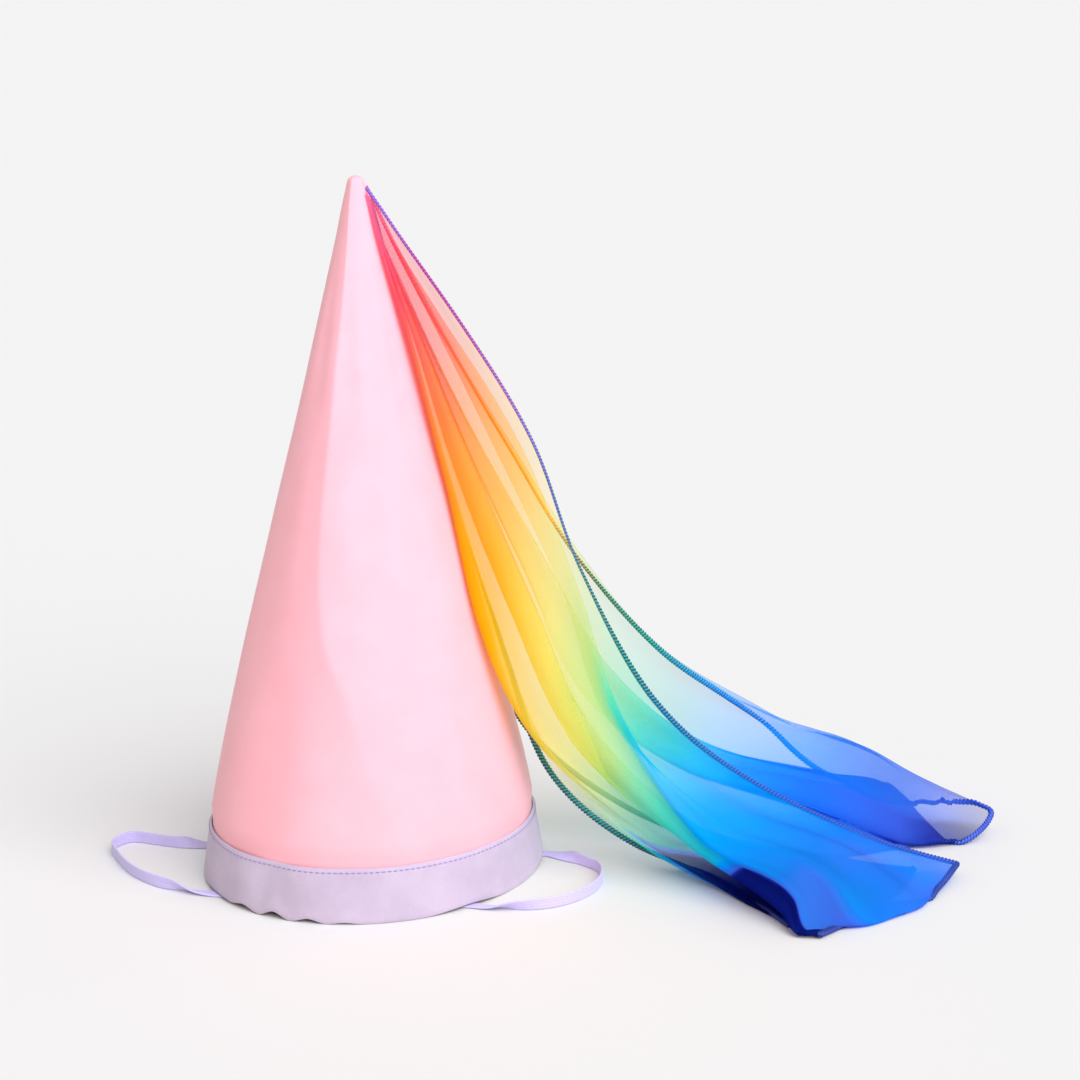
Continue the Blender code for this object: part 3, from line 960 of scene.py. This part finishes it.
chiffon, tree, output = new_material("rainbow_chiffon")
cloth = add(tree, "UVMap", uv_map="cloth").outputs["UV"]
# the rainbow place, plus painted shade where the near tail's under-layers lie folded
dye_and_shade = add(tree, "Attribute", attribute_name="dye_and_shade").outputs["Fac"]
layers = add(tree, "Attribute", attribute_name="layers").outputs["Fac"]
blot = add(tree, "TexNoise", {"Scale": 30.0, "Detail": 2.0}, {"Vector": cloth})
blot_shift = maths(tree, "MULTIPLY_ADD", blot.outputs["Fac"], 0.03, -0.015)
colour = ramp(tree, RAINBOW, maths(tree, "ADD", dye_and_shade, blot_shift))
tint = add(
    tree, "Mix", {"Factor": 0.14, "A": (1.0, 1.0, 1.0, 1.0)}, {"B": colour}, data_type="RGBA"
)
crepe = add(tree, "TexNoise", {"Scale": 1400.0, "Detail": 2.0}, {"Vector": cloth})
crinkle = add(tree, "Bump", {"Strength": 0.25, "Distance": 0.00015}, {"Height": crepe.outputs["Fac"]})
back = add(tree, "BsdfDiffuse", links={"Color": colour, "Normal": crinkle.outputs["Normal"]})
through = add(tree, "BsdfTranslucent", links={"Color": colour, "Normal": crinkle.outputs["Normal"]})
dyed = add(tree, "MixShader", {0: 0.45}, {1: back.outputs[0], 2: through.outputs[0]})
clear = add(tree, "BsdfTransparent", links={"Color": tint.outputs["Result"]})
grain = maths(tree, "MULTIPLY_ADD", crepe.outputs["Fac"], 0.24, 0.88)
stops = maths(tree, "MULTIPLY", layers, grain, clamp=True)
sheer = add(tree, "MixShader", links={0: stops, 1: clear.outputs[0], 2: dyed.outputs[0]})
tree.links.new(sheer.outputs[0], output.inputs["Surface"])

# %% Veil panels
near_points, near_layers, near_dye_and_shade = veil_grid(NEAR_PANEL, across_steps=14, down_steps=260, seed=3)
far_points, far_layers, far_dye = veil_grid(
    FAR_PANEL, across_steps=16, down_steps=240, seed=5, pleats_deeper=1.8
)
veil = {}
for name, points, layers_of, dye_and_shade_of in (
    ("veil_near_chiffon", near_points, near_layers, near_dye_and_shade),
    ("veil_far_chiffon", far_points, far_layers, far_dye),
):
    mesh = grid_mesh(name, points, flat_places(points))
    per_point(mesh, "layers", layers_of)
    per_point(mesh, "dye_and_shade", dye_and_shade_of)
    veil[name] = place(name, mesh, chiffon)
    print(name, len(mesh.polygons), "faces,", round(sum(face.area for face in mesh.polygons), 4), "m2")

# %% [markdown]
# ## The overlocked hems
#
# The cut edges are overlocked with variegated thread: a dense little rope about 2.8 mm wide, and
# half that near the tip, whose loops lie nearly 2 mm apart. It is swept along the panel's edge. Its
# section swells and shrinks once per loop, later from side to side, so the loops look twisted.

# %% Hem rope
HEM_WIDTH = 0.0028
HEM_THICKNESS = 0.0023
HEM_SLIMS = (0.16, 0.08)        # metres up: slim above the first, full below the second
SLIM_HEM = 0.52                 # the slim part's share of the full size
LOOP_PITCH = 0.0018
LOOP_SWELL = 0.24               # of the rope's size, once per loop
RINGS_PER_LOOP = 6
ROPE_SIDES = 8
ROPE_INSIDE = 0.38              # how far inside the cut edge its middle lies, of the rope's width
ROPE_REST = 0.0002              # how high its lowest points lie
WAY_SOFTENING, INTO_SOFTENING = 16, 8   # rings that are averaged on each side
INNER_HEM_DYE = (0.26, 0.40)    # where the inner hem's colours start and how fast they run


def panel_edge(points):
    """The way along the inner hem, the free end and the outer hem, with the direction into the
    cloth."""
    way = np.concatenate([points[:, 0], points[-1, 1:-1], points[::-1, -1]])
    within = np.concatenate([points[:, 1], points[-2, 1:-1], points[::-1, -2]])
    return way, unit(within - way)


def soften(values, reach):
    """Averages each row with its neighbours on both sides."""
    weights = np.hanning(2 * reach + 3)[1:-1]
    weights = weights / weights.sum()
    padded = np.pad(values, ((reach, reach), (0, 0)), mode="edge")
    return np.stack([np.convolve(column, weights, mode="valid") for column in padded.T], axis=1)


def hem_rope(name, points, dye_and_shade, material):
    """A rope of thread along a panel's three free edges. The inner hem was dyed on its own."""
    way, into = panel_edge(points)
    inner = INNER_HEM_DYE[0] + INNER_HEM_DYE[1] * dye_and_shade[:, 0]
    # the free end takes the panel's values, painted shade of the under-layers included
    tone = np.concatenate([inner, dye_and_shade[-1, 1:-1], dye_and_shade[::-1, -1]])
    steps = distances(way)
    at = np.linspace(0.0, steps[-1], int(steps[-1] / LOOP_PITCH * RINGS_PER_LOOP))
    centre, into = (
        soften(np.stack([np.interp(at, steps, column) for column in line.T], axis=1), reach)
        for line, reach in ((way, WAY_SOFTENING), (into, INTO_SOFTENING))
    )
    forward = unit(np.gradient(centre, axis=0))
    lift = unit(np.cross(forward, unit(into)))
    into = np.cross(lift, forward)
    angle = np.linspace(0.0, 2 * np.pi, ROPE_SIDES + 1)
    relaxed = ease((HEM_SLIMS[0] - centre[:, 2:]) / (HEM_SLIMS[0] - HEM_SLIMS[1]))
    size = SLIM_HEM + (1.0 - SLIM_HEM) * relaxed
    loops = at[:, None] / LOOP_PITCH
    size = size * (1.0 + LOOP_SWELL * np.cos(2 * np.pi * loops + angle[None, :] * 2))
    rope = (
        (centre + into * HEM_WIDTH * ROPE_INSIDE)[:, None, :]
        + into[:, None, :] * (HEM_WIDTH / 2 * np.cos(angle) * size)[..., None]
        + lift[:, None, :] * (HEM_THICKNESS / 2 * np.sin(angle) * size)[..., None]
    )
    rope[..., 2] = np.maximum(rope[..., 2], ROPE_REST)
    flat = np.stack(np.broadcast_arrays(angle[None, :] / (2 * np.pi), loops), axis=-1)
    mesh = grid_mesh(name, rope[:, :-1], flat, closed=True)
    per_point(mesh, "dye_and_shade", np.repeat(np.interp(at, steps, tone)[:, None], ROPE_SIDES, axis=1))
    print(name, round(float(steps[-1]), 3), "m,", len(mesh.polygons), "faces")
    return place(name, mesh, material)


# %% [markdown]
# The overlock thread is spun polyester, dyed in bands that drift out of step with the cloth, and
# two threads of slightly different shades cross in every loop. That gives the edge its speckle.

# %% Overlock thread
def overlock(name, dark_stops, light_stops):
    """Loops of two threads, a dark and a light one, with colours that follow the cloth's dye and any
    painted shade it carries.
    """
    made, tree, output = new_material(name)
    dye_and_shade = add(tree, "Attribute", attribute_name="dye_and_shade").outputs["Fac"]
    loops = add(tree, "UVMap", uv_map="cloth").outputs["UV"]
    apart = add(tree, "SeparateXYZ", links={"Vector": loops})
    phase = maths(tree, "MULTIPLY_ADD", apart.outputs["X"], 2.0, apart.outputs["Y"])
    crossing = maths(tree, "SINE", maths(tree, "MULTIPLY", phase, 2 * math.pi))
    stray = add(tree, "TexNoise", {"Scale": 1.1, "Detail": 1.0}, {"Vector": loops})
    share = maths(tree, "MULTIPLY_ADD", crossing, 0.75, stray.outputs["Fac"], clamp=True)
    dark, light = (ramp(tree, stops, dye_and_shade) for stops in (dark_stops, light_stops))
    colour = add(tree, "Mix", links={"Factor": share, "A": dark, "B": light}, data_type="RGBA")
    principled(
        tree,
        output,
        {"Roughness": 0.55, "Sheen Weight": 0.08},
        {"Base Color": colour.outputs["Result"]},
    )
    return made


near_thread = overlock(
    "near_overlock_thread",
    (
        (0.00, "#6a48b8"),
        (0.06, "#7a1c82"),
        (0.14, "#5c3f9c"),
        (0.22, "#3c4890"),
        (0.29, "#46508c"),
        (0.33, "#123c48"),
        (0.42, "#063c48"),
        (0.52, "#082f6a"),
        (0.65, "#0a2a86"),
        (0.80, "#10318c"),
        (1.00, "#0a1850"),
    ),
    (
        (0.00, "#8468c8"),
        (0.06, "#c02c84"),
        (0.14, "#a464b4"),
        (0.20, "#7c78c4"),
        (0.27, "#4c68a8"),
        (0.32, "#4a9094"),
        (0.40, "#14988c"),
        (0.48, "#1080a8"),
        (0.60, "#1068c4"),
        (0.80, "#1a58c8"),
        (1.00, "#20389c"),
    ),
)
far_thread = overlock(
    "far_overlock_thread",
    (
        (0.00, "#f04a60"),
        (0.12, "#e8603c"),
        (0.24, "#ee9636"),
        (0.30, "#4a4a2c"),
        (0.36, "#1c4034"),
        (0.44, "#064848"),
        (0.54, "#0a4a94"),
        (0.70, "#1440a0"),
        (0.85, "#1c3aa4"),
        (1.00, "#1c38a0"),
    ),
    (
        (0.00, "#ff7080"),
        (0.12, "#ff8050"),
        (0.24, "#ffa040"),
        (0.30, "#c0a860"),
        (0.36, "#5a9468"),
        (0.44, "#18a890"),
        (0.54, "#1c98e0"),
        (0.70, "#2a84f0"),
        (0.85, "#3c6cdc"),
        (1.00, "#4468d8"),
    ),
)
near_hem = hem_rope("veil_near_hem", near_points, near_dye_and_shade, near_thread)
far_hem = hem_rope("veil_far_hem", far_points, far_dye, far_thread)

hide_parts("veil_near_panel")
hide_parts("veil_far_panel")

# %% [markdown]
# ## The table and the light
#
# The hat stands on a plain, nearly white surface in soft daylight. A pale sky lights everything
# from all round, and a wide soft sun from the front right models the cone. A cooler window
# stands nearer, on the same side, and is linked to the hat alone, so that it brightens the
# cloth toward the tip and leaves the table evenly white.

# %% Floor
floor_mesh = bpy.data.meshes.new("floor")
floor_mesh.from_pydata([(-9, -9, 0), (9, -9, 0), (9, 9, 0), (-9, 9, 0)], [], [(0, 1, 2, 3)])
floor = bpy.data.objects.new("floor", floor_mesh)
bpy.context.scene.collection.objects.link(floor)
paper, tree, output = new_material("white_table")
principled(
    tree, output, {"Base Color": linear("#f4f4f4"), "Roughness": 0.9, "Specular IOR Level": 0.1}
)
floor_mesh.materials.append(paper)

# %% Light
LAMPS_AIM = (0.02, 0.0, 0.16)   # from the middle of the opening

sky = bpy.data.worlds.new("sky")
sky.use_nodes = True
sky.node_tree.nodes["Background"].inputs["Color"].default_value = linear("#fbfcff")
sky.node_tree.nodes["Background"].inputs["Strength"].default_value = 0.57
bpy.context.scene.world = sky
bpy.context.scene.view_settings.view_transform = "Standard"


def lamp(name, kind, place_from_middle, power, colour, **settings):
    """A lamp that faces LAMPS_AIM."""
    data = bpy.data.lights.new(name, kind)
    data.energy = power
    data.color = linear(colour)[:3]
    for setting, value in settings.items():
        setattr(data, setting, value)
    made = bpy.data.objects.new(name, data)
    made.location = MIDDLE + place_from_middle
    aim = LAMPS_AIM - place_from_middle
    made.rotation_euler = (
        math.acos(-aim[2] / np.linalg.norm(aim)),
        0.0,
        math.atan2(aim[1], aim[0]) - math.pi / 2,
    )
    bpy.context.scene.collection.objects.link(made)
    return made


lamp("daylight", "SUN", np.array([1.1, -1.4, 1.9]), 2.05, "#fffdfb", angle=math.radians(60))
window = lamp("window", "AREA", np.array([0.45, -0.75, 0.80]), 8.0, "#c4d6ff", size=0.6)
lit_by_window = bpy.data.collections.new("lit_by_window")
for piece in [cone, band, strap, topstitch, near_hem, far_hem, *veil.values()]:
    lit_by_window.objects.link(piece)
window.light_linking.receiver_collection = lit_by_window
